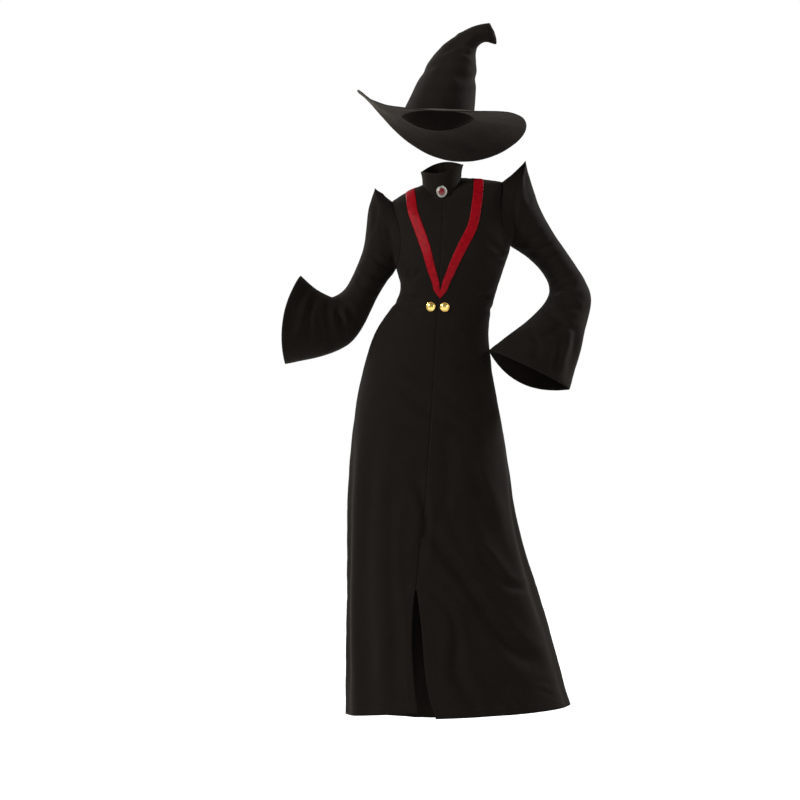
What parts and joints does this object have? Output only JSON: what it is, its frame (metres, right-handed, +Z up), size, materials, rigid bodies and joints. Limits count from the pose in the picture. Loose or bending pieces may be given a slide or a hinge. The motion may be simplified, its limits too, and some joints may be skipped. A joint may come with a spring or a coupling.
{
  "type": "witch costume: long dress and pointed hat",
  "caption": "Long black dress with peaked bell sleeves, stand collar, ribbon and front slit, worn shape, with a bent pointed hat.",
  "frame": {"origin": "at the base of the neck, midway between the shoulders, where the wearer holds the costume up", "axes": "+Z up along the wearer's height, -Y to the front, +X to the viewer's right (the wearer's left)"},
  "size_m": [0.7734, 0.427, 1.762],
  "materials": {
    "black_crepe": "matt crepe",
    "red_satin": "satin",
    "gilt_metal": "polished gilt",
    "silver_metal": "polished silver colour",
    "red_stone": "clear glossy",
    "black_felt": "matt felt"
  },
  "bodies": {
    "root": {"front_left": "black_crepe", "front_right": "black_crepe", "back_left": "black_crepe", "back_right": "black_crepe", "collar": "black_crepe", "sleeve_left": "black_crepe", "sleeve_right": "black_crepe", "neck_ribbon": "red_satin", "button_left": "gilt_metal", "button_right": "gilt_metal", "brooch_setting": "silver_metal", "brooch_stone": "red_stone", "hat_cone": "black_felt", "hat_brim": "black_felt"}
  },
  "joints": []
}
